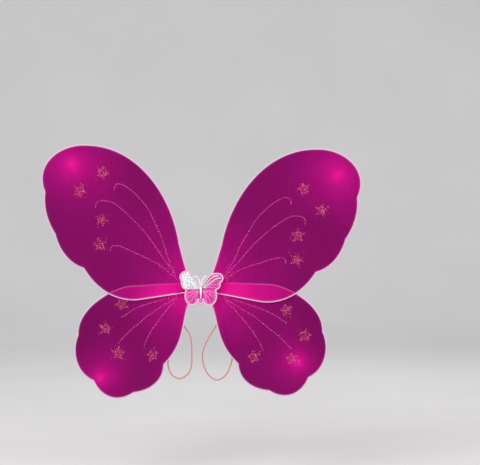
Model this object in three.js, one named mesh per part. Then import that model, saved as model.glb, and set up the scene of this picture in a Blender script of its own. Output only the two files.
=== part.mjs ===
// Costume fairy wings: four nylon-covered wire wings on a small hub, two elastic shoulder straps
// and a padded butterfly over the hub. Millimetres, +Z up, the decorated face towards -Y, the
// wearer's side towards +Y. The origin is on the hub's flat back face, level with the stems.
import * as THREE from 'three';

// Driving sizes
const WIRE_R = 0.9;
const GAP = 0.35;
const NYLON_THICK = 0.8;
const ELASTIC_R = 1.0;
const STEM_U = 15;
const STEM_R = 4.5;
const ROOT_BEND_R = 5.8;
const UPPER_Y = -10;
const LOWER_Y = -5.5;
const BOW = 1.1e-4;
const STEM_FRONT_Y = -12.4;
const STEM_BACK_Y = -2.6;
const THROAT_R = 19;
const GATHER_OUTER_R = 8.7;
const CORE = { halfWidth: 5, front: -11.4, back: -3.9, bottom: -13, top: 3 };
const WRAP = { halfWidth: 6.2, front: -12.5, back: -2.7, wall: 0.85, bottom: -11, top: 1.5 };
const PATCH = { halfWidth: 8, bottom: -21, top: 3, corner: 4, thick: 2.4 };
const NECK = { width: 6, thick: 1.9, bottom: -1, top: 7, middleX: 13, middleY: -1.3 };
const STRAP_Y = -1.15;
const FELT = { halfWidth: 9, bottom: -14, top: 3, corner: 6, back: -12.8, thick: 1 };
const BUTTERFLY_U = 2;
const BUTTERFLY_BACK_Y = -14.1;
const BUTTERFLY_TILT = THREE.MathUtils.degToRad(7);
const PAD_SCALE = 0.75;
const EDGE_SCALE = 0.81;

const SIDES = { left: -1, right: 1 };

// A wing's edge in wing coordinates: u outward from the hub, v up. Each span is a cubic Bezier
// given by its two controls and its end. It starts and ends on the bend round the stem, whose two
// angles are in degrees about the stem.
const WINGS = {
  upper: {
    y: UPPER_Y,
    bend: [263, 150],
    middle: [125, 95],
    steps: [6, 14, 10, 5, 5, 8, 7],
    tilt: { left: 0, right: -2.2 },
    spans: [
      [19, 18.5, 24.6, 43, 30.6, 66],
      [41, 136, 90, 213, 169, 214],
      [208, 216, 248, 186, 231, 144],
      [234, 122, 228, 100, 216, 81],
      [211, 59, 197, 37, 173.5, 30],
      [157, 1, 129, -19, 95, -17.5],
      [68, -14, 41.5, -9],
    ],
  },
  lower: {
    y: LOWER_Y,
    bend: [205, 95],
    middle: [112, -80],
    steps: [8, 9, 6, 6, 6, 10],
    tilt: { left: 0, right: 1.9 },
    spans: [
      [40, 8, 75, 4, 105.5, 2.5],
      [138, -3, 185, -33, 182.5, -71],
      [193, -95, 185, -128, 159, -139],
      [148, -164, 123, -173, 99.5, -157],
      [76, -154.5, 54.5, -141, 54, -115],
      [17, -78, 30, -46],
    ],
  },
};

// Strap routes, [x, z], from one end at the hub round the loop to the other end.
const STRAPS = {
  left: [
    [-15, -6], [-16, -18], [-21, -31], [-26.5, -45], [-24, -57], [-15.5, -70], [-12.5, -84],
    [-12, -99], [-12.3, -115], [-17, -129], [-30, -137], [-42, -131.5], [-47.5, -118.5],
    [-47.5, -109], [-43, -95], [-38, -77], [-33.5, -55], [-31, -36], [-26.5, -20], [-20, -6],
  ],
  right: [
    [15, -6], [17.5, -18], [22, -32], [26, -46], [25, -56], [20, -65], [14, -75], [7.5, -88],
    [4, -102], [6, -117], [13, -131], [26, -139], [39, -132], [46, -118], [48.5, -108],
    [47, -96], [42, -77], [36, -52], [31, -33], [26, -18], [20, -6],
  ],
};

// Butterfly wing outlines, [u, v] from the butterfly's own axis. 'L' is a line, 'C' a cubic.
const BUTTERFLY_WINGS = {
  upper_left: [
    ['M', 2.6, 3], ['L', 14, 21.3], ['C', 17, 25.5, 22, 26, 25, 24.5],
    ['C', 31, 22.5, 33, 16.5, 29, 11], ['C', 30, 5, 27, -0.5, 22, -1.2], ['L', 2.6, -0.8],
  ],
  upper_right: [
    ['M', 2.6, 3], ['L', 15, 20], ['C', 19, 22, 26, 22, 29.5, 21],
    ['C', 35, 18, 34, 11, 28.6, 8.5], ['C', 30, 3, 27, -1, 22, -1.6], ['L', 2.6, -0.8],
  ],
  lower: [
    ['M', 2.6, -2.6], ['L', 20, -5.2], ['C', 24, -8, 24, -15, 21.5, -19.5],
    ['C', 18, -26, 10, -28, 5.5, -19.5], ['L', 2.6, -15],
  ],
};

const PALETTE = {
  nylon: new THREE.MeshStandardMaterial({ color: 0xb0156e, roughness: 0.6, metalness: 0 }),
  wire: new THREE.MeshStandardMaterial({ color: 0xf0c4e4, roughness: 0.45, metalness: 0.1 }),
  sleeve: new THREE.MeshStandardMaterial({ color: 0xb9b9be, roughness: 0.35, metalness: 1 }),
  elastic: new THREE.MeshStandardMaterial({ color: 0xc86e6e, roughness: 0.9, metalness: 0 }),
  thread: new THREE.MeshStandardMaterial({ color: 0xc03580, roughness: 0.9, metalness: 0 }),
  ribbon: new THREE.MeshStandardMaterial({ color: 0xd41c86, roughness: 0.55, metalness: 0 }),
  felt: new THREE.MeshStandardMaterial({ color: 0xc2247c, roughness: 0.95, metalness: 0 }),
  satin: new THREE.MeshStandardMaterial({ color: 0xe62aa4, roughness: 0.45, metalness: 0 }),
  glitter: new THREE.MeshStandardMaterial({ color: 0xf2f4f4, roughness: 0.4, metalness: 0.2 }),
  edging: new THREE.MeshStandardMaterial({ color: 0xf7a9dd, roughness: 0.7, metalness: 0 }),
  cord: new THREE.MeshStandardMaterial({ color: 0xf3d9ea, roughness: 0.6, metalness: 0 }),
};

const wings = new THREE.Group();
wings.name = 'fairy_wings';

function add(name, geometry, material) {
  const mesh = new THREE.Mesh(geometry, PALETTE[material].clone());
  mesh.name = name;
  wings.add(mesh);
  return mesh;
}

// A route through fixed points, so that a swept section gets one ring at each of them.
class Route extends THREE.Curve {
  constructor(points) {
    super();
    this.points = points;
  }

  getUtoTmapping(u) {
    return u;
  }

  getPoint(t, target = new THREE.Vector3()) {
    const place = t * (this.points.length - 1);
    const i = Math.min(Math.floor(place), this.points.length - 2);
    return target.lerpVectors(this.points[i], this.points[i + 1], place - i);
  }
}

function circle(radius, sides) {
  const corner = (k) => {
    const angle = (2 * Math.PI * k) / sides;
    return new THREE.Vector2(radius * Math.cos(angle), radius * Math.sin(angle));
  };
  return Array.from({ length: sides }, (_, k) => corner(k));
}

function tube(points, radius, sides, boreRadius = 0) {
  const section = new THREE.Shape(circle(radius, sides));
  if (boreRadius > 0) section.holes.push(new THREE.Path(circle(boreRadius, sides)));
  return new THREE.ExtrudeGeometry(section, {
    steps: points.length - 1, extrudePath: new Route(points),
  });
}

// A plate standing in the XZ plane, its rear face at y = back and its front face towards -Y.
function plate(shape, back, thick, bevel = 0) {
  const geometry = new THREE.ExtrudeGeometry(shape, {
    depth: thick - 2 * bevel, curveSegments: 6, bevelEnabled: bevel > 0,
    bevelThickness: bevel, bevelSize: bevel, bevelOffset: -bevel, bevelSegments: 2,
  });
  geometry.rotateX(Math.PI / 2);
  geometry.translate(0, back - bevel, 0);
  return geometry;
}

function onStem(angleDeg, radius) {
  const angle = THREE.MathUtils.degToRad(angleDeg);
  return new THREE.Vector2(STEM_U + radius * Math.cos(angle), radius * Math.sin(angle));
}

// The closed loop of a wing's wire in [u, v]: its edge, then the bend round the stem.
function wireLoop(wing) {
  const [bendStart, bendEnd] = wing.bend;
  const loop = [onStem(bendEnd, ROOT_BEND_R)];
  wing.spans.forEach((span, k) => {
    const from = loop[loop.length - 1];
    const to = span.length > 4
      ? new THREE.Vector2(span[4], span[5]) : onStem(bendStart, ROOT_BEND_R);
    const curve = new THREE.CubicBezierCurve(
      from, new THREE.Vector2(span[0], span[1]), new THREE.Vector2(span[2], span[3]), to);
    loop.push(...curve.getSpacedPoints(wing.steps[k]).slice(1));
  });
  const bendSteps = 7;
  for (let k = 1; k < bendSteps; k++) {
    loop.push(onStem(bendStart + ((bendEnd - bendStart) * k) / bendSteps, ROOT_BEND_R));
  }
  return loop;
}

// Wing coordinates to the object's: mirrored to its side, tilted about the stem and bowed forward.
function placeOn(side, wing, sideName) {
  const tilt = THREE.MathUtils.degToRad(wing.tilt[sideName]);
  return (p, offsetY = 0) => {
    const du = p.x - STEM_U;
    const u = STEM_U + du * Math.cos(tilt) - p.y * Math.sin(tilt);
    const v = du * Math.sin(tilt) + p.y * Math.cos(tilt);
    const fromStem = du * du + p.y * p.y;
    return new THREE.Vector3(side * u, wing.y - BOW * fromStem + offsetY, v);
  };
}

// The loop moved inward by a distance, mitred at each point; the loop runs clockwise.
function inset(loop, distance) {
  const n = loop.length;
  return loop.map((p, i) => {
    const before = p.clone().sub(loop[(i + n - 1) % n]).normalize();
    const after = loop[(i + 1) % n].clone().sub(p).normalize();
    const along = before.clone().add(after).normalize();
    const mitre = distance / Math.max(along.dot(after), 0.6);
    return new THREE.Vector2(p.x + along.y * mitre, p.y - along.x * mitre);
  });
}

// A thin closed sheet from rings that shrink towards a middle point, the same on both faces.
function sheet(edge, middle, place, thick) {
  const rings = [1, 0.72, 0.38];
  const n = edge.length;
  const positions = [];
  const triangles = [];
  const faces = [-thick / 2, thick / 2];
  for (const offsetY of faces) {
    for (const scale of rings) {
      for (const p of edge) {
        const at = middle.clone().lerp(p, scale);
        positions.push(...place(at, offsetY).toArray());
      }
    }
    positions.push(...place(middle, offsetY).toArray());
  }
  const perFace = n * rings.length + 1;
  const quad = (a, b, c, d) => triangles.push(a, b, c, a, c, d);
  for (let i = 0; i < n; i++) {
    const j = (i + 1) % n;
    for (let r = 0; r + 1 < rings.length; r++) {
      quad(r * n + i, r * n + j, (r + 1) * n + j, (r + 1) * n + i);
      const back = perFace + r * n;
      quad(back + j, back + i, back + n + i, back + n + j);
    }
    const inner = (rings.length - 1) * n;
    triangles.push(inner + i, inner + j, perFace - 1);
    triangles.push(perFace + inner + j, perFace + inner + i, 2 * perFace - 1);
    quad(j, i, perFace + i, perFace + j);
  }
  const geometry = new THREE.BufferGeometry();
  geometry.setAttribute('position', new THREE.Float32BufferAttribute(positions, 3));
  geometry.setIndex(triangles);
  return geometry;
}

function turnedInsideOut(geometry) {
  const index = geometry.index.array;
  for (let i = 0; i < index.length; i += 3) [index[i], index[i + 1]] = [index[i + 1], index[i]];
  return geometry;
}

// The gathered end of the nylon: a flat arc round the stem between the wing's two wires.
function gather(wing, side, tiltDeg) {
  const [bendStart, bendEnd] = wing.bend;
  const room = 14;
  const from = bendStart - 360 + 90 + room + tiltDeg;
  const to = bendEnd - 90 - room + tiltDeg;
  const steps = 6;
  const arc = (radius, a, b) => Array.from({ length: steps + 1 }, (_, k) =>
    onStem(a + ((b - a) * k) / steps, radius));
  const points = [...arc(STEM_R + 0.45, from, to), ...arc(GATHER_OUTER_R, to, from)];
  const shape = new THREE.Shape(points.map((p) => new THREE.Vector2(side * p.x, p.y)));
  return plate(shape, wing.y + 0.8, 1.6);
}

function makeWing(sideName, level) {
  const side = SIDES[sideName];
  const wing = WINGS[level];
  const place = placeOn(side, wing, sideName);
  const name = `${sideName}_${level}`;
  const loop = wireLoop(wing);

  // The loop's two ends meet in a crimped sleeve on the wire, a little way out from the stem.
  const join = 1;
  const ordered = [...loop.slice(join), ...loop.slice(0, join + 1)].map((p) => place(p));
  const endGap = 0.3;
  const last = ordered.length - 1;
  const shorten = (end, next) => end.clone().add(next.clone().sub(end).setLength(endGap));
  const first = shorten(ordered[0], ordered[1]);
  const final = shorten(ordered[last], ordered[last - 1]);
  ordered[0] = first;
  ordered[last] = final;
  add(`${name}_frame_wire`, tube(ordered, WIRE_R, 6), 'wire');

  const sleeveHalf = 3.5;
  const along = ordered[1].clone().sub(ordered[last - 1]).setLength(sleeveHalf);
  const mid = first.clone().add(final).multiplyScalar(0.5);
  const sleeve = [mid.clone().sub(along), mid, mid.clone().add(along)];
  add(`${name}_wire_sleeve`, tube(sleeve, WIRE_R + 1, 8, WIRE_R + 0.5), 'sleeve');

  const edge = inset(loop, WIRE_R + GAP).filter((p) => Math.hypot(p.x - STEM_U, p.y) > THROAT_R);
  const nylon = sheet(edge, new THREE.Vector2(...wing.middle), place, NYLON_THICK);
  add(`${name}_nylon`, side > 0 ? turnedInsideOut(nylon) : nylon, 'nylon');
  add(`${name}_nylon_gather`, gather(wing, side, wing.tilt[sideName]), 'nylon');
}

// The stem that a side's two wires bend round, bound with thread: a spool with a ridge per turn.
function stemGeometry() {
  const turns = 4;
  const length = STEM_BACK_Y - STEM_FRONT_Y;
  const profile = [new THREE.Vector2(0, 0)];
  for (let k = 0; k < turns; k++) {
    const start = (length * k) / turns;
    const pitch = length / turns;
    profile.push(new THREE.Vector2(STEM_R - 0.5, start));
    profile.push(new THREE.Vector2(STEM_R, start + pitch * 0.3));
    profile.push(new THREE.Vector2(STEM_R, start + pitch * 0.7));
  }
  profile.push(new THREE.Vector2(STEM_R - 0.5, length), new THREE.Vector2(0, length));
  const geometry = new THREE.LatheGeometry(profile, 14);
  geometry.translate(0, STEM_FRONT_Y, 0);
  return geometry;
}

function makeRoot(sideName) {
  const side = SIDES[sideName];
  add(`${sideName}_stem_binding`, stemGeometry(), 'thread').position.x = side * STEM_U;

  // A short neck carries the stem back to the hub at the back face.
  const neck = new THREE.BoxGeometry(NECK.width, NECK.thick, NECK.top - NECK.bottom);
  const neckMesh = add(`${sideName}_stem_neck`, neck, 'ribbon');
  neckMesh.position.set(side * NECK.middleX, NECK.middleY, (NECK.top + NECK.bottom) / 2);

  const route = STRAPS[sideName].map(([x, z]) => new THREE.Vector3(x, STRAP_Y, z));
  const line = new THREE.CatmullRomCurve3(route, false, 'centripetal');
  add(`${sideName}_strap`, tube(line.getSpacedPoints(76), ELASTIC_R, 8), 'elastic');

  // The two ends of the elastic are tied off in one knot against the stem.
  const knot = new THREE.SphereGeometry(1, 10, 6);
  knot.scale(4.2, 1.1, 1.8);
  add(`${sideName}_strap_knot`, knot, 'elastic').position.set(side * 17.4, -1.15, -3.7);
}

function makeHub() {
  const core = new THREE.BoxGeometry(
    2 * CORE.halfWidth, CORE.back - CORE.front, CORE.top - CORE.bottom);
  core.translate(0, (CORE.back + CORE.front) / 2, (CORE.top + CORE.bottom) / 2);
  add('centre_core', core, 'thread');

  const { halfWidth, front, back, wall, bottom, top } = WRAP;
  const band = new THREE.Shape();
  band.moveTo(-halfWidth, front).lineTo(halfWidth, front).lineTo(halfWidth, back);
  band.lineTo(-halfWidth, back).closePath();
  const inside = new THREE.Path();
  inside.moveTo(-halfWidth + wall, front + wall).lineTo(-halfWidth + wall, back - wall);
  inside.lineTo(halfWidth - wall, back - wall).lineTo(halfWidth - wall, front + wall).closePath();
  band.holes.push(inside);
  const wrap = new THREE.ExtrudeGeometry(band, { depth: top - bottom, bevelEnabled: false });
  wrap.translate(0, 0, bottom);
  add('centre_ribbon_wrap', wrap, 'ribbon');

  add('back_patch', plate(roundedPlate(PATCH), 0, PATCH.thick), 'felt');
}

function roundedPlate({ halfWidth, bottom, top, corner }) {
  const shape = new THREE.Shape();
  const x = halfWidth - corner;
  shape.absarc(x, top - corner, corner, 0, Math.PI / 2);
  shape.absarc(-x, top - corner, corner, Math.PI / 2, Math.PI);
  shape.absarc(-x, bottom + corner, corner, Math.PI, 1.5 * Math.PI);
  shape.absarc(x, bottom + corner, corner, 1.5 * Math.PI, 2 * Math.PI);
  return shape;
}

function outlinePoints(commands, side) {
  const shape = new THREE.Shape();
  for (const [kind, ...v] of commands) {
    if (kind === 'M') shape.moveTo(side * v[0], v[1]);
    if (kind === 'L') shape.lineTo(side * v[0], v[1]);
    if (kind === 'C') shape.bezierCurveTo(side * v[0], v[1], side * v[2], v[3], side * v[4], v[5]);
  }
  return shape.getPoints(6);
}

function scaledAbout(points, scale) {
  const sum = points.reduce((a, p) => a.add(p), new THREE.Vector2());
  const middle = sum.divideScalar(points.length);
  return points.map((p) => middle.clone().lerp(p, scale));
}

// One of the butterfly's wings: a padded satin panel inside a corded, embroidered edge.
function butterflyWing(name, commands, sideName, material) {
  const side = SIDES[sideName];
  const points = outlinePoints(commands, side);
  const edge = new THREE.Shape(points);
  edge.holes.push(new THREE.Path(scaledAbout(points, EDGE_SCALE).reverse()));
  const tilted = [
    add(`${name}_edge`, plate(edge, 0, 1.6), 'edging'),
    add(`${name}_pad`, plate(new THREE.Shape(scaledAbout(points, PAD_SCALE)), 0, 2.4, 0.6), material),
  ];
  for (const mesh of tilted) {
    mesh.position.set(BUTTERFLY_U, BUTTERFLY_BACK_Y, 0);
    mesh.rotation.z = -side * BUTTERFLY_TILT;
  }
}

function makeButterfly() {
  add('butterfly_felt_backing', plate(roundedPlate(FELT), FELT.back, FELT.thick), 'felt');
  const { upper_left: upperLeft, upper_right: upperRight, lower } = BUTTERFLY_WINGS;
  butterflyWing('butterfly_upper_left', upperLeft, 'left', 'glitter');
  butterflyWing('butterfly_upper_right', upperRight, 'right', 'satin');
  butterflyWing('butterfly_lower_left', lower, 'left', 'satin');
  butterflyWing('butterfly_lower_right', lower, 'right', 'satin');

  const body = new THREE.CapsuleGeometry(1.7, 23, 5, 12);
  body.rotateX(Math.PI / 2);
  add('butterfly_body', body, 'cord').position.set(BUTTERFLY_U, -16.2, -8.8);

  for (const [sideName, side] of Object.entries(SIDES)) {
    const route = [[1.1, 5.8], [1.6, 9], [2.2, 12], [3.6, 15], [5.6, 17.2], [7.8, 18.2]];
    const points = route.map(([u, v]) => new THREE.Vector3(
      BUTTERFLY_U + side * u, -16.2, v));
    const line = new THREE.CatmullRomCurve3(points);
    add(`butterfly_antenna_${sideName}`, tube(line.getSpacedPoints(12), 0.7, 6), 'cord');
  }
}

for (const sideName of Object.keys(SIDES)) {
  for (const level of Object.keys(WINGS)) makeWing(sideName, level);
  makeRoot(sideName);
}
makeHub();
makeButterfly();

export default wings;
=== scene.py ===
"""Looks of the costume fairy wings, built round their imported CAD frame.

Metres, +Z up, the decorated face towards -Y and the wearer's side towards +Y. Wing shapes are
given in millimetres in wing coordinates: u outward from the hub, v up.
"""

import math
import random

import bmesh
import bpy
import numpy as np
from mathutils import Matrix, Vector


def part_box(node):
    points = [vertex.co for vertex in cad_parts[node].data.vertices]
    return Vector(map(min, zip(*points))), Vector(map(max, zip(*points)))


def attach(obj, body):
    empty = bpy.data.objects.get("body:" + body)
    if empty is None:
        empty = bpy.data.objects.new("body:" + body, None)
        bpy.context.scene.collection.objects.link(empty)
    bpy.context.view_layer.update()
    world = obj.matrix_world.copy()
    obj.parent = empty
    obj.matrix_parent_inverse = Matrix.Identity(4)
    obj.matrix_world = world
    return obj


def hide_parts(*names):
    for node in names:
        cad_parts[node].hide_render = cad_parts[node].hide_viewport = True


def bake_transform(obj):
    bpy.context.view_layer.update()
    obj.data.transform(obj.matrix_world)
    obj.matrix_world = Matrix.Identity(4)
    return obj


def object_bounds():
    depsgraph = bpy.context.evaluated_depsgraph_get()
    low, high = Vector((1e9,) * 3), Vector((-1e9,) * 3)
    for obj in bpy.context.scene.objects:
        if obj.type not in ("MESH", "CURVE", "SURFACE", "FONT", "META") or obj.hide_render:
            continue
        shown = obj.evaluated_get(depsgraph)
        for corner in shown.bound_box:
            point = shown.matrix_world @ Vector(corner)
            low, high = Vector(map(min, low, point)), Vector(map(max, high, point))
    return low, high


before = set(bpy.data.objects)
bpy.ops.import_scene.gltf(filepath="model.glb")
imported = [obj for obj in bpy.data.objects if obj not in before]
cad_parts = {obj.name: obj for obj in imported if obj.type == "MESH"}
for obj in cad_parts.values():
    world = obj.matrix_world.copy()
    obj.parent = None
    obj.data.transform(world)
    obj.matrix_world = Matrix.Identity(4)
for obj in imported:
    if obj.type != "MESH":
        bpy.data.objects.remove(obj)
cad_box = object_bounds()

# One millimetre in metres. The lengths below are in millimetres.
MM = 0.001
WELD = 0.01
POINTS_PER_SPAN = 10
POINTS_PER_CORNER = 8
WIRE_R = 0.9
NYLON_OVER_WIRE = 0.15
HALF_GAP = 0.2
STEM_U = 15.0
ROOT_BEND_R = 5.8
THROAT_R = 15.5
THROAT_POINTS = 60
NARROWS_IN = 4.5
FOLDS_BEGIN_AT = 9.0
DEEP = 9.0
WIDE_GLOW = 110.0
BOW = 1.1e-4
ELASTIC_R = 1.0
STRAP_Y = -1.15
BUTTERFLY_U = 2.0
BUTTERFLY_BACK_Y = -14.1
BUTTERFLY_TILT = math.radians(7)
SIDES = {"left": -1, "right": 1}

WINGS = {
    "upper": {
        "y": -10.0,
        "bend": (263, 150),
        "middle": (125, 95),
        "tilt": {"left": 0.0, "right": -2.2},
        "spans": [
            (19, 18.5, 24.6, 43, 30.6, 66),
            (41, 136, 90, 213, 169, 214),
            (208, 216, 248, 186, 231, 144),
            (234, 122, 228, 100, 216, 81),
            (211, 59, 197, 37, 173.5, 30),
            (157, 1, 129, -19, 95, -17.5),
            (68, -14, 41.5, -9),
        ],
        "cusps": [(231, 144), (216, 81), (173.5, 30)],
        "hot_spot": {"left": (191, 186), "right": (208, 169)},
        "glow": {"base": 0.03, "root": 0.95, "root_mm": 64,
                 "hot": 0.63, "hot_mm": 30, "wide": 0.34},
        "flat": (0.165, 0.235),
        "print": {"left": ((1, 0), (0, 1)), "right": ((0.902, 0.105), (-0.121, 0.981))},
        "stars": [(145, 173), (179, 145), (147, 102), (150, 65)],
        "veins": [
            [(128, 147), (126, 154), (119, 156), (107, 150), (92, 137), (77, 118), (67, 98),
             (57, 76), (49, 50), (42, 35), (37, 22)],
            [(156, 121), (154, 128), (145, 131), (130, 128), (116, 118), (99, 102), (84, 86),
             (69, 66), (54, 44), (42, 28), (35, 17)],
            [(134, 56), (132, 62), (126, 64), (114, 61), (97, 53), (81, 46), (64, 37),
             (50, 27), (40, 19), (33, 13)],
        ],
    },
    "lower": {
        "y": -5.5,
        "bend": (205, 95),
        "middle": (112, -80),
        "tilt": {"left": 0.0, "right": 1.9},
        "spans": [
            (40, 8, 75, 4, 105.5, 2.5),
            (138, -3, 185, -33, 182.5, -71),
            (193, -95, 185, -128, 159, -139),
            (148, -164, 123, -173, 99.5, -157),
            (76, -154.5, 54.5, -141, 54, -115),
            (17, -78, 30, -46),
        ],
        "cusps": [(182.5, -71), (159, -139), (99.5, -157), (54, -115)],
        "hot_spot": {"left": (150, -135), "right": (149, -111)},
        "glow": {"base": -0.09, "root": 1.12, "root_mm": 86,
                 "hot": 0.9, "hot_mm": 26, "wide": 0.05},
        "flat": (0.125, 0.165),
        "print": {"left": ((1, 0), (0, 1)), "right": ((1.117, -0.005), (-0.135, 0.976))},
        "stars": [(117, -24), (141, -61), (122, -98), (71, -101)],
        "veins": [
            [(117, -44), (102, -34), (86, -26.5), (68, -21), (48, -15), (34, -11)],
            [(122, -83), (107, -66.5), (91, -53), (76, -40), (58, -28.5), (42, -19), (34, -14)],
            [(84, -90), (80, -78), (71, -62), (58, -43.5), (45, -28), (35, -17)],
        ],
    },
}

STRAPS = {
    "left": [
        (-15, -6), (-16, -18), (-21, -31), (-26.5, -45), (-24, -57), (-15.5, -70), (-12.5, -84),
        (-12, -99), (-12.3, -115), (-17, -129), (-30, -137), (-42, -131.5), (-47.5, -118.5),
        (-47.5, -109), (-43, -95), (-38, -77), (-33.5, -55), (-31, -36), (-26.5, -20), (-20, -6),
    ],
    "right": [
        (15, -6), (17.5, -18), (22, -32), (26, -46), (25, -56), (20, -65), (14, -75), (7.5, -88),
        (4, -102), (6, -117), (13, -131), (26, -139), (39, -132), (46, -118), (48.5, -108),
        (47, -96), (42, -77), (36, -52), (31, -33), (26, -18), (20, -6),
    ],
}


# --- small geometry helpers -----------------------------------------------------------------

def bezier(p0, p1, p2, p3, steps):
    t = np.linspace(0, 1, steps + 1)[:, None]
    p0, p1, p2, p3 = (np.array(p, float) for p in (p0, p1, p2, p3))
    return (1 - t) ** 3 * p0 + 3 * (1 - t) ** 2 * t * p1 + 3 * (1 - t) * t * t * p2 + t ** 3 * p3


def respaced(points, spacing, closed=False):
    """The same line with points about the given distance apart."""
    points = np.array(points, float)
    if closed:
        points = np.vstack([points, points[:1]])
    along = np.r_[0, np.cumsum(np.linalg.norm(np.diff(points, axis=0), axis=1))]
    count = max(2, int(round(along[-1] / spacing)))
    wanted = np.linspace(0, along[-1], count + 1)
    line = np.stack([np.interp(wanted, along, points[:, k]) for k in range(points.shape[1])], 1)
    return line[:-1] if closed else line


def smooth_route(points):
    """A centripetal Catmull-Rom line through the points, as the CAD sweeps it."""
    p = [np.array(q, float) for q in points]
    p = [2 * p[0] - p[1], *p, 2 * p[-1] - p[-2]]
    line = []
    for a, b, c, d in zip(p, p[1:], p[2:], p[3:]):
        t1 = np.linalg.norm(b - a) ** 0.5
        t2 = t1 + np.linalg.norm(c - b) ** 0.5
        t3 = t2 + np.linalg.norm(d - c) ** 0.5
        for t in np.linspace(t1, t2, POINTS_PER_SPAN, endpoint=False):
            ab = a * (t1 - t) / t1 + b * t / t1
            bc = b * (t2 - t) / (t2 - t1) + c * (t - t1) / (t2 - t1)
            cd = c * (t3 - t) / (t3 - t2) + d * (t - t2) / (t3 - t2)
            abc = ab * (t2 - t) / t2 + bc * t / t2
            bcd = bc * (t3 - t) / (t3 - t1) + cd * (t - t1) / (t3 - t1)
            line.append(abc * (t2 - t) / (t2 - t1) + bcd * (t - t1) / (t2 - t1))
    line.append(p[-2])
    return np.array(line)


class Build:
    """Collects vertices in millimetres, faces and per-vertex numbers for one mesh object."""

    def __init__(self, name):
        self.name = name
        self.points = []
        self.faces = []
        self.values = {}

    def add(self, points, faces, **values):
        first = len(self.points)
        self.points.extend(map(tuple, points))
        self.faces.extend([tuple(first + i for i in f) for f in faces])
        for key in {*values, *self.values}:
            kept = self.values.setdefault(key, [])
            kept.extend([0.0] * (first - len(kept)))
            value = values.get(key, 0.0)
            size = len(points)
            kept.extend([float(value)] * size if np.ndim(value) == 0 else map(float, value))

    def finish(self, look, body=None, node=None, smooth=True, weld=False):
        """Makes the piece in its look. It rides on the body and replaces the CAD node."""
        slot, material = LOOKS[look]
        mesh = bpy.data.meshes.new(self.name)
        mesh.from_pydata([(x * MM, y * MM, z * MM) for x, y, z in self.points], [], self.faces)
        for key, numbers in self.values.items():
            numbers.extend([0.0] * (len(self.points) - len(numbers)))
            mesh.attributes.new(key, "FLOAT", "POINT").data.foreach_set("value", numbers)
        mesh.polygons.foreach_set("use_smooth", [smooth] * len(mesh.polygons))
        mesh.materials.append(material)
        mesh.validate()
        if weld:
            close_up(mesh)
        piece = bpy.data.objects.new(self.name, mesh)
        bpy.context.scene.collection.objects.link(piece)
        if body:
            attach(piece, body)
        if node:
            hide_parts(node)
        return piece


def close_up(data):
    """Joins a mesh's edges where they meet, fills what is still open and turns faces outward."""
    mesh = bmesh.new()
    mesh.from_mesh(data)
    bmesh.ops.remove_doubles(mesh, verts=mesh.verts, dist=WELD * MM)
    bmesh.ops.holes_fill(mesh, edges=[e for e in mesh.edges if e.is_boundary], sides=0)
    bmesh.ops.recalc_face_normals(mesh, faces=mesh.faces)
    mesh.to_mesh(data)
    mesh.free()


def box_mm(node):
    """A CAD node's lowest and highest corners in millimetres."""
    low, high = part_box(node)
    return np.array(low) / MM, np.array(high) / MM


def add_double_sheet(build, columns, rows, place, **values):
    """A thin closed sheet: place(face, i, k) gives the points of its two faces, -1 and 1."""
    m = rows + 1
    half = (columns + 1) * m
    points = [place(face, i, k) for face in (-1, 1) for i in range(columns + 1) for k in range(m)]
    faces = []
    for i in range(columns):
        for k in range(rows):
            q = (i * m + k, (i + 1) * m + k, (i + 1) * m + k + 1, i * m + k + 1)
            faces += [q, tuple(half + v for v in reversed(q))]
    border = [i * m for i in range(columns)] + [columns * m + k for k in range(rows)]
    border += [i * m + rows for i in range(columns, 0, -1)] + list(range(rows, 0, -1))
    for p, q in zip(border, border[1:] + border[:1]):
        faces.append((q, p, half + p, half + q))
    build.add(points, faces, **values)


def frames_along(line, closed):
    """Two unit directions across a line at each of its points, turning as little as they can."""
    n = len(line)
    ahead = np.roll(line, -1, 0) - np.roll(line, 1, 0)
    if not closed:
        ahead[0], ahead[-1] = line[1] - line[0], line[-1] - line[-2]
    ahead /= np.linalg.norm(ahead, axis=1)[:, None]
    side = np.zeros_like(line)
    start = np.array([0.0, 1.0, 0.0]) if abs(ahead[0][1]) < 0.9 else np.array([1.0, 0.0, 0.0])
    for i in range(n):
        base = start if i == 0 else side[i - 1]
        side[i] = base - ahead[i] * base.dot(ahead[i])
        side[i] /= np.linalg.norm(side[i])
    return side, np.cross(ahead, side)


def sweep(build, line, radius, sides, closed=False):
    """A round tube along a line. radius is one number or one for each point of the line."""
    line = np.array(line, float)
    n = len(line)
    across, up = frames_along(line, closed)
    radii = np.broadcast_to(np.array(radius, float).reshape(-1, 1), (n, 1))
    angles = np.linspace(0, 2 * math.pi, sides, endpoint=False)
    rings = [line + across * radii * math.cos(a) + up * radii * math.sin(a) for a in angles]
    points = np.stack(rings, 1).reshape(-1, 3)
    faces = []
    for i in range(n if closed else n - 1):
        j = (i + 1) % n
        for k in range(sides):
            m = (k + 1) % sides
            faces.append((i * sides + k, i * sides + m, j * sides + m, j * sides + k))
    if not closed:
        faces.append(tuple(reversed(range(sides))))
        faces.append(tuple((n - 1) * sides + k for k in range(sides)))
    along = np.r_[0, np.cumsum(np.linalg.norm(np.diff(line, axis=0), axis=1))]
    build.add(points, faces, along=np.repeat(along, sides), around=np.tile(angles, n))


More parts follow.
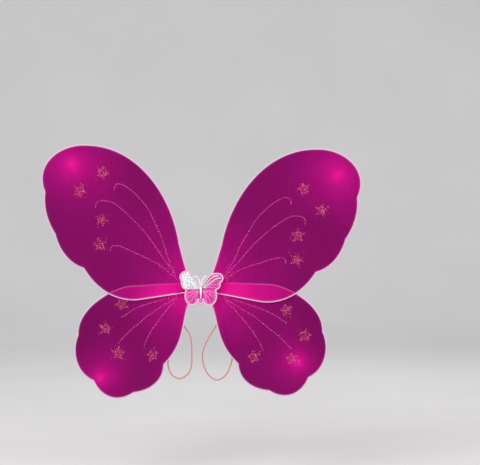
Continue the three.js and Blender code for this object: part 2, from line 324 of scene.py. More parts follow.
def lathe(build, profile, sides, place, wobble=None):
    """Turns a profile of (radius, height) pairs about an axis and puts each point with place."""
    points, faces = [], []
    n = len(profile)
    for k in range(sides):
        a = 2 * math.pi * k / sides
        for i, (r, h) in enumerate(profile):
            grown = r + (wobble(a, h) if wobble else 0)
            points.append(place(grown * math.cos(a), grown * math.sin(a), h))
    for k in range(sides):
        m = (k + 1) % sides
        for i in range(n - 1):
            faces.append((k * n + i, m * n + i, m * n + i + 1, k * n + i + 1))
    faces.append(tuple(reversed([k * n for k in range(sides)])))
    faces.append(tuple(k * n + n - 1 for k in range(sides)))
    build.add(points, faces)


# --- materials ------------------------------------------------------------------------------

class Look:
    """A node material round one Principled shader, with short calls for its usual nodes."""

    def __init__(self, name, roughness=0.6, metallic=0.0, **fixed):
        self.material = bpy.data.materials.new(name)
        self.material.use_nodes = True
        self.nodes = self.material.node_tree.nodes
        self.shader = self.nodes["Principled BSDF"]
        self.set(self.shader, Roughness=roughness, Metallic=metallic)
        for socket, value in fixed.items():
            self.shader.inputs[socket.replace("_", " ")].default_value = value

    def set(self, node, **values):
        for socket, value in values.items():
            self.put(node.inputs[socket.replace("_", " ")], value)

    def put(self, socket, value):
        if isinstance(value, bpy.types.NodeSocket):
            self.material.node_tree.links.new(value, socket)
        else:
            socket.default_value = value

    def coords(self, scale=(1, 1, 1)):
        place = self.nodes.new("ShaderNodeTexCoord")
        mapping = self.nodes.new("ShaderNodeMapping")
        self.set(mapping, Vector=place.outputs["Object"], Scale=scale)
        return mapping.outputs[0]

    def noise(self, scale, detail=3.0, stretch=(1, 1, 1)):
        node = self.nodes.new("ShaderNodeTexNoise")
        self.set(node, Vector=self.coords(stretch), Scale=scale, Detail=detail)
        return node.outputs[0]

    def value(self, name):
        node = self.nodes.new("ShaderNodeAttribute")
        node.attribute_name = name
        return node.outputs["Fac"]

    def math(self, operation, a, b=0.0):
        node = self.nodes.new("ShaderNodeMath")
        node.operation = operation
        self.put(node.inputs[0], a)
        self.put(node.inputs[1], b)
        return node.outputs[0]

    def add(self, a, b):
        return self.math("ADD", a, b)

    def times(self, a, b):
        return self.math("MULTIPLY", a, b)

    def remap(self, value, low, high, to_low=0.0, to_high=1.0):
        node = self.nodes.new("ShaderNodeMapRange")
        self.set(node, Value=value)
        for i, number in enumerate((low, high, to_low, to_high)):
            node.inputs[i + 1].default_value = number
        return node.outputs[0]

    def ramp(self, value, stops):
        node = self.nodes.new("ShaderNodeValToRGB")
        self.put(node.inputs[0], value)
        elements = node.color_ramp.elements
        while len(elements) < len(stops):
            elements.new(0.5)
        for element, (at, color) in zip(elements, stops):
            element.position = at
            element.color = (*color, 1)
        return node.outputs[0]

    def mix(self, factor, a, b):
        node = self.nodes.new("ShaderNodeMix")
        node.data_type = "RGBA"
        self.put(node.inputs["Factor"], factor)
        for socket, value in zip((node.inputs[6], node.inputs[7]), (a, b)):
            self.put(socket, (*value, 1) if isinstance(value, tuple) else value)
        return node.outputs[2]

    def bump(self, height, strength, distance_mm):
        node = self.nodes.new("ShaderNodeBump")
        self.set(node, Height=height, Strength=strength, Distance=distance_mm * MM)
        if self.shader.inputs["Normal"].is_linked:
            self.put(node.inputs["Normal"], self.shader.inputs["Normal"].links[0].from_socket)
        self.put(self.shader.inputs["Normal"], node.outputs[0])

    def color(self, value):
        self.put(self.shader.inputs["Base Color"], value)

    def blend_with(self, kind, factor, color):
        """Mixes another shader over what already reaches the surface."""
        output = self.nodes["Material Output"].inputs["Surface"]
        other = self.nodes.new(kind)
        self.put(other.inputs["Color"], (*color, 1) if isinstance(color, tuple) else color)
        mixer = self.nodes.new("ShaderNodeMixShader")
        self.put(mixer.inputs[0], factor)
        self.put(mixer.inputs[1], output.links[0].from_socket)
        self.put(mixer.inputs[2], other.outputs[0])
        self.put(output, mixer.outputs[0])


NYLON_STOPS = [(0.0, (0.05, 0.0004, 0.065)), (0.25, (0.18, 0.001, 0.13)),
               (0.5, (0.35, 0.002, 0.205)), (0.75, (0.58, 0.004, 0.29)), (1.0, (0.9, 0.01, 0.41))]
# WIRE_UNDER is the painted see-through colour of the lower wing's wire on the upper nylon.
WIRE_UNDER = (0.8, 0.16, 0.5)
RIM_PINK = (0.96, 0.68, 0.9)


def nylon_look():
    """Dyed stocking nylon.

    "glow" says how bright it is, "rim" where it lies over its wire, "over" how deep in millimetres
    it lies inside the wing behind, and "far" how far it is from the hub.
    """
    look = Look("dyed_nylon", roughness=0.5, Specular_IOR_Level=0.07, Sheen_Weight=0.06,
                Sheen_Roughness=0.4, Sheen_Tint=(1.0, 0.3, 0.65, 1))
    wales = look.noise(80, 2.0, (5.0, 5.0, 0.3))
    glow = look.add(look.value("glow"), look.remap(wales, 0.3, 0.7, -0.02, 0.02))
    glow = look.add(glow, look.remap(look.noise(14, 2.0), 0.3, 0.7, -0.06, 0.06))
    # Painted light: the upper nylon is painted brighter where the lower wing lies behind it, as the
    # two layers look at rest; the brightening stays on the upper wing when the wings fan.
    glow = look.add(glow, look.remap(look.value("over"), -2.0, 1.6, 0.0, 0.44))
    rim = look.value("rim")
    dyed = look.ramp(glow, NYLON_STOPS)
    # Painted see-through: a pale line in WIRE_UNDER is painted on the upper nylon over the lower
    # wing's wire, fading near the hub; it stands in for light from that wire behind and stays when
    # the wings fan.
    from_lower_wire = look.math("ABSOLUTE", look.value("over"))
    over_wire = look.times(look.remap(from_lower_wire, 0.5, 1.3, 0.75, 0.0), look.value("far"))
    color = look.mix(rim, look.mix(over_wire, dyed, WIRE_UNDER), RIM_PINK)
    look.color(color)
    look.bump(look.noise(1500, 1.0, (1, 1, 0.4)), 0.25, 0.1)
    look.blend_with("ShaderNodeBsdfTranslucent", 0.3, color)
    clear = look.times(look.remap(glow, 0.0, 1.0, 0.46, 0.26), look.remap(rim, 0, 1, 1.0, 0.1))
    look.blend_with("ShaderNodeBsdfTransparent", clear, (1.0, 0.16, 0.6))
    return look.material


def wire_look():
    look = Look("coated_wire", roughness=0.35, Coat_Weight=0.3)
    look.color(look.ramp(look.noise(220), [(0.35, (0.72, 0.36, 0.6)), (0.65, (0.88, 0.6, 0.8))]))
    look.bump(look.noise(900), 0.2, 0.05)
    return look.material


def glitter_look(name, stops, metallic=0.0):
    look = Look(name, roughness=0.35, metallic=metallic, Coat_Weight=0.12,
                Specular_IOR_Level=0.3)
    look.color(look.ramp(look.value("tone"), stops))
    look.bump(look.noise(1200), 0.15, 0.04)
    return look.material


def thread_look(name, dark, light, ridges_per_mm=0.0, roughness=0.65):
    """Twisted or wound thread: ridges slant across the piece, painted darker in their grooves and
    lighter on their crowns, and the dye varies a little.
    """
    look = Look(name, roughness=roughness, Sheen_Weight=0.4)
    spin = look.add(look.times(look.value("along"), ridges_per_mm * 2 * math.pi),
                    look.value("around"))
    ridge = look.remap(look.math("SINE", spin), -1, 1)
    # The colour follows the ridge: darker in the grooves and lighter on the crowns is painted shade
    # and painted highlight; the noise is the dye varying.
    shade = look.add(look.times(ridge, 0.6), look.times(look.noise(300), 0.5))
    look.color(look.ramp(shade, [(0.1, dark), (0.9, light)]))
    look.bump(ridge, 0.6, 0.15)
    look.bump(look.noise(2500), 0.3, 0.05)
    return look.material


def felt_look(name, dark, light):
    look = Look(name, roughness=0.95, Sheen_Weight=0.8)
    cloud = look.noise(60, 4.0)
    fibre = look.noise(1600)
    shade = look.add(look.times(cloud, 0.6), look.times(fibre, 0.4))
    look.color(look.ramp(shade, [(0.35, dark), (0.65, light)]))
    look.bump(fibre, 0.5, 0.3)
    return look.material


def satin_look(name, dark, light):
    look = Look(name, roughness=0.34, Sheen_Weight=0.3, Anisotropic=0.5)
    weave = look.noise(1800, 2.0, (0.25, 1, 1))
    shade = look.add(look.times(look.noise(130, 3.0), 0.75), look.times(weave, 0.25))
    look.color(look.ramp(shade, [(0.32, dark), (0.62, light)]))
    look.bump(weave, 0.35, 0.06)
    look.bump(look.noise(260, 2.0), 0.4, 0.4)
    return look.material


def sleeve_look():
    look = Look("crimped_metal", roughness=0.32, metallic=1.0)
    look.color(look.ramp(look.noise(500), [(0.3, (0.42, 0.42, 0.45)), (0.7, (0.68, 0.68, 0.7))]))
    look.bump(look.noise(700), 0.5, 0.15)
    return look.material


# Each look's material slot in the record, and its material.
LOOKS = {
    "nylon": ("dyed_nylon", nylon_look()),
    "wire": ("frame_wire", wire_look()),
    "sleeve": ("crimp_sleeve", sleeve_look()),
    "stars": ("star_glitter", glitter_look("salmon_glitter", [
        (0.0, (0.4, 0.015, 0.08)), (0.7, (0.74, 0.06, 0.16)), (1.0, (1.0, 0.42, 0.55))])),
    "veins": ("star_glitter", glitter_look("vein_glitter", [
        (0.0, (0.5, 0.02, 0.2)), (0.6, (0.88, 0.09, 0.38)), (1.0, (1.0, 0.5, 0.72))])),
    "elastic": ("strap_elastic",
                thread_look("woven_elastic", (0.42, 0.1, 0.1), (0.72, 0.27, 0.26), 1.1)),
    "thread": ("binding_thread",
               thread_look("binding_thread", (0.34, 0.01, 0.13), (0.68, 0.05, 0.33))),
    "edging": ("embroidered_edge",
               thread_look("satin_stitch", (0.72, 0.22, 0.5), (0.98, 0.6, 0.84), 0.0, 0.5)),
    "pale_cord": ("pale_cord",
                  thread_look("pale_cord", (0.8, 0.68, 0.76), (0.98, 0.94, 0.97), 0.9, 0.5)),
    # The silver cord's grey is painted shade between its strands and its white is painted highlight
    # on them.
    "silver_cord": ("pale_cord",
                    thread_look("silver_cord", (0.42, 0.38, 0.44), (0.96, 0.93, 0.96), 0.8, 0.35)),
    "ribbon": ("satin_ribbon", satin_look("satin_ribbon", (0.5, 0.012, 0.2), (0.85, 0.03, 0.4))),
    "satin": ("pink_satin", satin_look("padded_satin", (0.45, 0.008, 0.2), (0.78, 0.02, 0.35))),
    # The upper-left butterfly lobe's white is painted glare on its fabric; the silver sequins on it
    # are real.
    "glare_white_satin": ("silver_glitter_cloth",
                    satin_look("glare_white_satin", (0.72, 0.74, 0.76), (0.95, 0.96, 0.97))),
    "sequins": ("silver_glitter_cloth", glitter_look("sequins", [
        (0.0, (0.2, 0.23, 0.25)), (0.3, (0.78, 0.84, 0.84)), (1.0, (1.0, 0.96, 0.98))], 0.35)),
    "felt": ("felt", felt_look("felt", (0.36, 0.012, 0.15), (0.62, 0.03, 0.28))),
}


# --- wings ----------------------------------------------------------------------------------

def on_stem(angle_deg, radius):
    a = math.radians(angle_deg)
    return np.array([STEM_U + radius * math.cos(a), radius * math.sin(a)])


def wire_loop(wing):
    """The closed centre line of a wing's wire in wing coordinates, finely and evenly spaced."""
    bend_start, bend_end = wing["bend"]
    loop = [on_stem(bend_end, ROOT_BEND_R)]
    for span in wing["spans"]:
        end = span[4:6] if len(span) > 4 else on_stem(bend_start, ROOT_BEND_R)
        loop.extend(bezier(loop[-1], span[0:2], span[2:4], end, 60)[1:])
    for k in range(1, 20):
        loop.append(on_stem(bend_start + (bend_end - bend_start) * k / 20, ROOT_BEND_R))
    return respaced(loop, 1.6, closed=True)


def placer(side_name, wing):
    """Wing coordinates and a depth offset to object millimetres, as the CAD places a wing."""
    side, tilt = SIDES[side_name], math.radians(wing["tilt"][side_name])

    def place(p, offset_y=0.0):
        du = p[0] - STEM_U
        u = STEM_U + du * math.cos(tilt) - p[1] * math.sin(tilt)
        v = du * math.sin(tilt) + p[1] * math.cos(tilt)
        return side * u, wing["y"] - BOW * (du * du + p[1] * p[1]) + offset_y, v

    return place


def inside(polygon, p):
    a, b = polygon, np.roll(polygon, -1, 0)
    crossing = (a[:, 1] > p[1]) != (b[:, 1] > p[1])
    a, b = a[crossing], b[crossing]
    at = a[:, 0] + (p[1] - a[:, 1]) / (b[:, 1] - a[:, 1]) * (b[:, 0] - a[:, 0])
    return (at > p[0]).sum() % 2 == 1


class WingShape:
    """One kind of wing: its wire loop and how thick, folded and bright its nylon is."""

    def __init__(self, level):
        self.wing = WINGS[level]
        self.loop = wire_loop(self.wing)
        self.middle = np.array(self.wing["middle"], float)
        self.root = np.array([STEM_U, 0.0])

    def from_wire(self, p):
        return float(np.linalg.norm(self.loop - p, axis=1).min())

    def fold(self, p):
        """Height in millimetres of the tension folds: fans from the root and one from each cusp."""
        du, dv = p[0] - STEM_U, p[1]
        r, angle = math.hypot(du, dv), math.atan2(dv, du)
        wave = math.cos(angle * 30 + 1.3 * math.sin(angle * 5)) + 0.5 * math.cos(angle * 47 + 1)
        height = 0.42 * math.exp(-r / 38) * (0.8 + 0.5 * wave)
        height += 0.05 * (1 + math.sin(angle * 19 + r / 31))
        for cusp in self.wing["cusps"]:
            away = np.array(cusp) - self.root
            length = np.linalg.norm(away)
            along = (du * away[0] + dv * away[1]) / length
            off = abs(du * away[1] - dv * away[0]) / length
            reach = max(0.0, 1 - (length - along) / 70)
            width = 3 + 0.08 * (length - along)
            height += 0.22 * reach * math.exp(-((off / width) ** 2))
        return height

    def printed(self, p, side_name):
        """Where a point of the glitter pattern lies: each side's nylon is stretched its own way."""
        stretch = np.array(self.wing["print"][side_name])
        return self.root + stretch @ (np.array(p, float) - self.root)

    def half_gap(self, p, from_wire):
        """Half the distance between the nylon's two faces."""
        over_wire = WIRE_R + NYLON_OVER_WIRE - HALF_GAP
        flat = HALF_GAP + over_wire * math.exp(-from_wire / NARROWS_IN)
        return flat + self.fold(p) * (1 - math.exp(-from_wire / FOLDS_BEGIN_AT))

    def glow(self, p, side_name):
        """How bright the dyed nylon is, from 0 to 1: it glows at the root and at one hot spot."""
        level, hot = self.wing["glow"], self.wing["hot_spot"][side_name]
        d = math.hypot(p[0] - hot[0], p[1] - hot[1])
        r = math.hypot(p[0] - STEM_U, p[1])
        near_hot = level["hot"] * math.exp(-d / level["hot_mm"])
        near_hot += level["wide"] * math.exp(-d / WIDE_GLOW)
        near_root = level["root"] * math.exp(-r / level["root_mm"])
        edge = 0.12 * math.exp(-self.from_wire(p) / 14 - r / 120)
        return level["base"] + near_root + near_hot + edge

    def depth_inside(self, p, loop):
        """How far a point is inside a loop, or with a minus sign how far outside."""
        d = min(DEEP, float(np.linalg.norm(loop - p, axis=1).min()))
        return d if inside(loop, p) else -d


SHAPES = {level: WingShape(level) for level in WINGS}

CORNER_ROOM = 9.0
MIDDLE_STEPS = 17
RIM_SHARE = [1, 1, 1, 1, 0.5, 0.05]
HUB_REACH = 70.0
FLAKE_THICK = 0.09
STAR_FLAKES = 165
STAR_REACH = 11.5
STAR_WAIST = 0.56
VEIN_STEP = 0.42


def nylon_edge(shape):
    """The nylon's edge in wing coordinates: along the wire, then back across the throat."""
    loop = shape.loop
    far = np.linalg.norm(loop - shape.root, axis=1) > THROAT_R
    start = int(np.flatnonzero(far & ~np.roll(far, 1))[0])
    ordered = np.roll(loop, -start, 0)
    wired = ordered[np.roll(far, -start)]
    last, first = wired[-1] - shape.root, wired[0] - shape.root
    a, b = math.atan2(last[1], last[0]), math.atan2(first[1], first[0])
    if b < a:
        b += 2 * math.pi
    throat = [shape.root + THROAT_R * np.array([math.cos(t), math.sin(t)])
              for t in np.linspace(a, b, THROAT_POINTS + 2)[1:-1]]
    on_wire = np.r_[np.ones(len(wired)), np.zeros(THROAT_POINTS)]
    return np.vstack([wired, throat]), on_wire


def nylon_rings(shape, edge, on_wire):
    """Rings from the nylon's edge to the wing's middle, with the height of those on the wire."""
    ahead = np.roll(edge, -1, 0) - np.roll(edge, 1, 0)
    ahead /= np.linalg.norm(ahead, axis=1)[:, None]
    inward = np.stack([ahead[:, 1], -ahead[:, 0]], 1)
    corners = np.flatnonzero((on_wire != np.roll(on_wire, 1)) | (on_wire != np.roll(on_wire, -1)))
    to_corner = np.min(np.linalg.norm(edge[:, None] - edge[corners][None], axis=2), 1)
    room = np.clip(to_corner / CORNER_ROOM, 0.03, 1)
    outer = WIRE_R + NYLON_OVER_WIRE
    near = [(-outer * math.cos(a), outer * math.sin(a)) for a in (0, 0.6, 1.15, math.pi / 2)]
    rings = [(edge + inward * d * np.where(d > 0, room, 1)[:, None], height) for d, height in
             [*near, (0.65, None), (1.25, None), (3.2, None), (6.5, None)]]
    base = rings[-1][0]
    for k in range(1, MIDDLE_STEPS):
        rings.append((base + (shape.middle - base) * (k / MIDDLE_STEPS) ** 1.35, None))
    return rings


def make_nylon(side_name, level):
    """The stocking nylon: two faces stretched over the wire that nearly meet between."""
    shape = SHAPES[level]
    place = placer(side_name, shape.wing)
    edge, on_wire = nylon_edge(shape)
    rings = nylon_rings(shape, edge, on_wire)
    n, count = len(edge), len(rings)
    points, rim = [], []
    for face in (-1, 1):
        for r, (ring, height) in enumerate(rings):
            rim.extend((RIM_SHARE[r] if r < len(RIM_SHARE) else 0) * on_wire)
            for i, p in enumerate(ring):
                gap = shape.half_gap(p, shape.from_wire(p))
                if height is not None:
                    gap = height if on_wire[i] else min(height, 0.6)
                points.append(place(p, face * gap))
        rim.append(0.0)
        points.append(place(shape.middle, face * shape.half_gap(shape.middle, 90)))
    other = SHAPES["lower" if level == "upper" else "upper"]
    other_loop = np.array([placer(side_name, other.wing)(p)[::2] for p in other.loop])
    # over carries painted light on the upper nylon: brighter where the lower wing lies behind it,
    # and a pale line over that wing's wire; the lower nylon gets none.
    over = [shape.depth_inside((x, z), other_loop) if level == "upper" else -DEEP
            for x, _, z in points]
    glow = [shape.glow((abs(x), z), side_name) for x, _, z in points]
    far = [1 - math.exp(-((abs(x) / HUB_REACH) ** 2)) for x, _, _ in points]
    per_face = n * count + 1
    faces = []
    for i in range(n):
        j = (i + 1) % n
        for r in range(count - 1):
            a, b, c, d = r * n + i, r * n + j, (r + 1) * n + j, (r + 1) * n + i
            faces.append((a, b, c, d))
            faces.append(tuple(per_face + q for q in (b, a, d, c)))
        last = (count - 1) * n
        faces.append((last + i, last + j, per_face - 1))
        faces.append((per_face + last + j, per_face + last + i, 2 * per_face - 1))
    build = Build(f"{side_name}_{level}_nylon_sleeve")
    build.add(points, faces, glow=glow, over=over, far=far, rim=rim)
    wing = f"{side_name}_{level}"
    piece = build.finish("nylon", f"{wing}_wing", f"{wing}_nylon", weld=True)


def flake(build, rng, centre, size, thick, lean=0.3, droop=0.0, turns=6.28, sides=6, tone=(0, 1)):
    """A small flat flake at a place in object millimetres, facing -Y but tilted at random."""
    tx, tz = rng.gauss(0, lean), rng.gauss(droop, lean)
    turn = rng.uniform(0, turns)
    right = np.array([math.cos(turn), tx, math.sin(turn)])
    up = np.array([-math.sin(turn), tz, math.cos(turn)])
    right /= np.linalg.norm(right)
    up -= right * up.dot(right)
    up /= np.linalg.norm(up)
    out = np.cross(right, up)
    out = -out if out[1] > 0 else out
    angles = [2 * math.pi * k / sides for k in range(sides)]
    rim = [centre + right * size * math.cos(a) + up * size * math.sin(a) for a in angles]
    points = [*rim, centre + out * thick, centre - out * thick]
    faces = []
    for k in range(sides):
        m = (k + 1) % sides
        faces += [(k, m, sides), (m, k, sides + 1)]
    build.add(points, faces, tone=tone[0] + tone[1] * rng.random())


def star_outline(centre, radius, turn):
    points = []
    for k in range(10):
        r = radius if k % 2 == 0 else radius * STAR_WAIST
        a = turn + math.pi / 2 + k * math.pi / 5
        points.append((centre[0] + r * math.cos(a), centre[1] + r * math.sin(a)))
    return np.array(points)


def make_stars(side_name, level):
    """Glued glitter stars: loose-edged heaps of flakes inside a five-pointed outline."""
    rng = random.Random(f"stars {side_name} {level}")
    shape = SHAPES[level]
    place = placer(side_name, shape.wing)
    build = Build(f"{side_name}_{level}_glitter_stars")
    for star in shape.wing["stars"]:
        centre = shape.printed(star, side_name)
        outline = star_outline(centre, rng.uniform(10.2, 11.4), rng.uniform(-0.5, 0.5))
        kept = 0
        while kept < STAR_FLAKES:
            p = centre + [rng.uniform(-STAR_REACH, STAR_REACH) for _ in range(2)]
            stray = rng.random() < 0.05
            if not inside(outline, p) and not stray:
                continue
            kept += 1
            lift = shape.half_gap(p, shape.from_wire(p)) + rng.uniform(0.08, 0.4)
            flake(build, rng, np.array(place(p, -lift)), rng.uniform(0.28, 0.56), FLAKE_THICK)
    build.finish("stars", f"{side_name}_{level}_wing", smooth=False)


def make_veins(side_name, level):
    """Dotted lines of glitter glue that hook over at the outer end and run in to the root."""
    rng = random.Random(f"veins {side_name} {level}")
    shape = SHAPES[level]
    place = placer(side_name, shape.wing)
    build = Build(f"{side_name}_{level}_glitter_veins")
    for vein in shape.wing["veins"]:
        line = respaced(smooth_route([shape.printed(p, side_name) for p in vein]), VEIN_STEP)
        for i, p in enumerate(line):
            near_root = math.exp(-((np.linalg.norm(p - shape.root) / 55) ** 2))
            dot = math.sin(i * 0.66) > 0.45
            if rng.random() < (0.05 if dot else 0.5):
                continue
            spread = 0.26 + (0.6 + 2.4 * near_root) * (rng.random() < 0.1 + 0.3 * near_root)
            q = p + np.array([rng.gauss(0, spread), rng.gauss(0, spread)])
            lift = shape.half_gap(q, shape.from_wire(q)) + rng.uniform(0.05, 0.28)
            size, tone = (rng.uniform(0.4, 0.56), 0.35) if dot else (rng.uniform(0.2, 0.36), 0.0)
            flake(build, rng, np.array(place(q, -lift)), size, FLAKE_THICK, tone=(tone, 0.4))
    build.finish("veins", f"{side_name}_{level}_wing", smooth=False)


def make_wire(side_name, level):
    shape = SHAPES[level]
    place = placer(side_name, shape.wing)
    build = Build(f"{side_name}_{level}_smooth_wire")
    sweep(build, [place(p) for p in shape.loop], WIRE_R, 10, closed=True)
    build.finish("wire", f"{side_name}_{level}_wing", f"{side_name}_{level}_frame_wire")


def make_gather(side_name, level):
    """The nylon's gathered end: a pleated fan from the throat in to the stem."""
    shape = SHAPES[level]
    place = placer(side_name, shape.wing)
    edge, on_wire = nylon_edge(shape)
    ends = [edge[0] - shape.root, edge[int(on_wire.sum()) - 1] - shape.root]
    a, b = sorted(math.atan2(e[1], e[0]) for e in ends)
    inset = 0.1 * (b - a)
    columns, rows, first_r = 66, 9, 5.0

    def at(face, i, k):
        t, s = i / columns, k / rows
        angle = a + inset + (b - a - 2 * inset) * t
        pleat = 0.5 + 0.5 * math.cos(t * columns / 6 * 2 * math.pi)
        r = first_r + (THROAT_R + 1.2 - first_r) * s
        height = 0.25 + (0.65 - 0.35 * s) * pleat + 0.35 * (1 - s)
        return place(shape.root + r * np.array([math.cos(angle), math.sin(angle)]), face * height)

    wing = f"{side_name}_{level}"
    build = Build(f"{wing}_gathered_end")
    # glow=1.15: the gathered nylon is denser, and it is also painted brighter as painted light to
    # lift the shade it lies in behind the butterfly and the wing above.
    add_double_sheet(build, columns, rows, at, glow=1.15, over=-DEEP)
    build.finish("nylon", f"{wing}_wing", f"{wing}_nylon_gather", weld=True)


# --- straps, stems and hub ------------------------------------------------------------------

def knot_line(centre, half_width, half_height, depth):
    """A flattened overhand knot."""
    t = np.linspace(0, 2 * math.pi, 90, endpoint=False)
    x = (np.sin(t) + 2 * np.sin(2 * t)) / 3 * half_width
    z = (np.cos(t) - 2 * np.cos(2 * t)) / 3 * half_height
    y = -np.sin(3 * t) * depth
    return np.stack([centre[0] + x, centre[1] + y, centre[2] + z], 1)


def make_strap(side_name):
    """One shoulder strap: a loop of round elastic whose two ends are tied at the stem."""
    route = smooth_route([(x, STRAP_Y, z) for x, z in STRAPS[side_name]])
    line = respaced(route, 1.0)
    build = Build(f"{side_name}_elastic_strap")
    sweep(build, line, ELASTIC_R, 12)
    strap = build.finish("elastic", f"{side_name}_root", f"{side_name}_strap")

    low, high = box_mm(f"{side_name}_strap_knot")
    centre, half = (low + high) / 2, (high - low) / 2
    build = Build(f"{side_name}_elastic_knot")
    sweep(build, knot_line(centre, half[0] - 0.6, half[2] + 0.3, 0.6), 0.78, 10, closed=True)
    for x in (-0.8, 0.9):
        tail = [centre + np.array([x * 2.4, 0, -1.0]), centre + np.array([x * 3.4, 0.2, -3.0]),
                centre + np.array([x * 3.6, 0.1, -5.6])]
        sweep(build, respaced(smooth_route(tail), 0.6), 0.8, 10)
    knot = build.finish("elastic", f"{side_name}_root", f"{side_name}_strap_knot")


def make_stem(side_name):
    """Thread wound round the bent wires and twisted ends."""
    rng = random.Random(f"stem {side_name}")
    low, high = box_mm(f"{side_name}_stem_binding")
    middle = (low + high) / 2
    radius = (high[0] - low[0]) / 2
    long = high[1] - low[1]
    thread_r = 0.34

    def place(a, b, h):
        return middle[0] + a, low[1] + h, middle[2] + b

    build = Build(f"{side_name}_thread_wound_stem")
    core = [(radius * 0.62, 0.0), (radius - 0.55, 0.3), (radius - 0.5, long - 0.3),
            (radius * 0.62, long)]
    lathe(build, core, 28, place)
    turns = int(long / (2 * thread_r))
    line = []
    for i in range(turns * 24 + 1):
        a = 2 * math.pi * i / 24
        r = radius - thread_r + 0.12 * math.sin(a * 0.37 + rng.random() * 0.3)
        h = thread_r + (long - 2 * thread_r) * i / (turns * 24)
        line.append(place(r * math.cos(a), r * math.sin(a), h))
    sweep(build, line, thread_r, 6)
    for face, h in ((0, 0.12), (1, long - 0.12)):
        for k in range(5):
            a = k * math.pi / 5 + 0.2 * rng.random() + face
            ends = [place(s * (radius - 0.7) * math.cos(a), s * (radius - 0.7) * math.sin(a), h)
                    for s in (-1, 1)]
            middle_of = place(0.5 * math.sin(a), 0.5 * math.cos(a), h)
            sweep(build, respaced([ends[0], middle_of, ends[1]], 1.2), thread_r, 6)
    build.finish("thread", f"{side_name}_root", f"{side_name}_stem_binding")


def ribbon_strip(build, line, half_width, thick, wave=0.0):
    """A flat ribbon along a line in the XY plane, standing along Z, with slightly rolled edges."""
    line = np.array(line, float)
    ahead = np.gradient(line, axis=0)
    ahead /= np.linalg.norm(ahead, axis=1)[:, None]
    out = np.stack([ahead[:, 1], -ahead[:, 0], np.zeros(len(line))], 1)
    columns = 12

    def at(face, i, k):
        s = 2 * k / columns - 1
        crown = wave * math.sin(i * 0.8 + 3 * s) + 0.15 * (s * s)
        return line[i] + out[i] * (face * thick / 2 + crown) + [0, 0, s * half_width]

    add_double_sheet(build, len(line) - 1, columns, at)


def make_ribbon_hinge(side_name):
    """The ribbon that ties a side's stem to the hub, where the side folds back."""
    side = SIDES[side_name]
    low, high = box_mm(f"{side_name}_stem_neck")
    y, z = (low[1] + high[1]) / 2, (low[2] + high[2]) / 2
    far = max(abs(low[0]), abs(high[0]))
    start, drop = 5.5, 2.4
    xs = np.linspace(start, far + 1.2, 26)
    line = [(side * x, y + 0.25 * math.sin((x - start) / (far - start) * math.pi),
             z - drop * max(0.0, 1 - (x - start) / 5)) for x in xs]
    build = Build(f"{side_name}_ribbon_hinge")
    ribbon_strip(build, line, (high[2] - low[2]) / 2 - 0.4, 0.9, 0.12)
    for offset in (-1, 1):
        edge = [(p[0], p[1] + 0.55, p[2] + offset * 2.9) for p in line[14:25]]
        for a, b in zip(edge[::2], edge[1::2]):
            sweep(build, [a, b], 0.22, 6)
    piece = build.finish("ribbon", node=f"{side_name}_stem_neck", weld=True)
    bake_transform(piece)


def rounded_loop(low, high, corner):
    """A closed rounded rectangle between a plane's lowest and highest corners."""
    points = []
    (x0, y0), (x1, y1) = low, high
    for quarter, (x, y) in enumerate([(x1, y1), (x0, y1), (x0, y0), (x1, y0)]):
        cx = x - math.copysign(corner, x - (low[0] + high[0]) / 2)
        cy = y - math.copysign(corner, y - (low[1] + high[1]) / 2)
        for k in range(POINTS_PER_CORNER + 1):
            a = (quarter + k / POINTS_PER_CORNER) * math.pi / 2
            points.append((cx + corner * math.cos(a), cy + corner * math.sin(a)))
    return np.array(points)


def make_centre_wrap():
    """Ribbon wound round the centre core in overlapping turns."""
    low, high = box_mm("centre_ribbon_wrap")
    build = Build("wound_centre_ribbon")
    turns, lean = 4, 0.9
    long = high[2] - low[2]
    half = long / turns * 0.72
    for k in range(turns):
        z = low[2] + long * (k + 0.5) / turns
        inset = 0.35 - 0.12 * (k % 2)
        loop = rounded_loop(low[:2] + inset, high[:2] - inset, 1.6)
        line = [(x, y, z + lean * (x / high[0])) for x, y in respaced(loop, 0.8, closed=True)]
        ribbon_strip(build, [*line, line[0]], half, 0.45, 0.05)
    build.finish("ribbon", "hub", "centre_ribbon_wrap", weld=True)


def make_centre_core():
    """Thread wound round a solid core."""
    build = Build("wound_centre_core")
    low, high = box_mm("centre_core")
    loop = respaced(rounded_loop(low[:2], high[:2], 2.0), 1.2, closed=True)
    middle = (low[:2] + high[:2]) / 2
    turns = 30
    line = []
    for i in range(turns * len(loop)):
        p = middle + (loop[i % len(loop)] - middle) * 0.93
        line.append((*p, low[2] + 0.4 + (high[2] - low[2] - 0.8) * i / (turns * len(loop))))
    sweep(build, line, 0.36, 6)
    solid = []
    for z in (low[2], high[2]):
        solid.extend((*(middle + (q - middle) * 0.88), z) for q in loop)
    n = len(loop)
    faces = [(i, (i + 1) % n, n + (i + 1) % n, n + i) for i in range(n)]
    faces += [tuple(reversed(range(n))), tuple(range(n, 2 * n))]
    build.add(solid, faces)
    build.finish("thread", "hub", "centre_core")


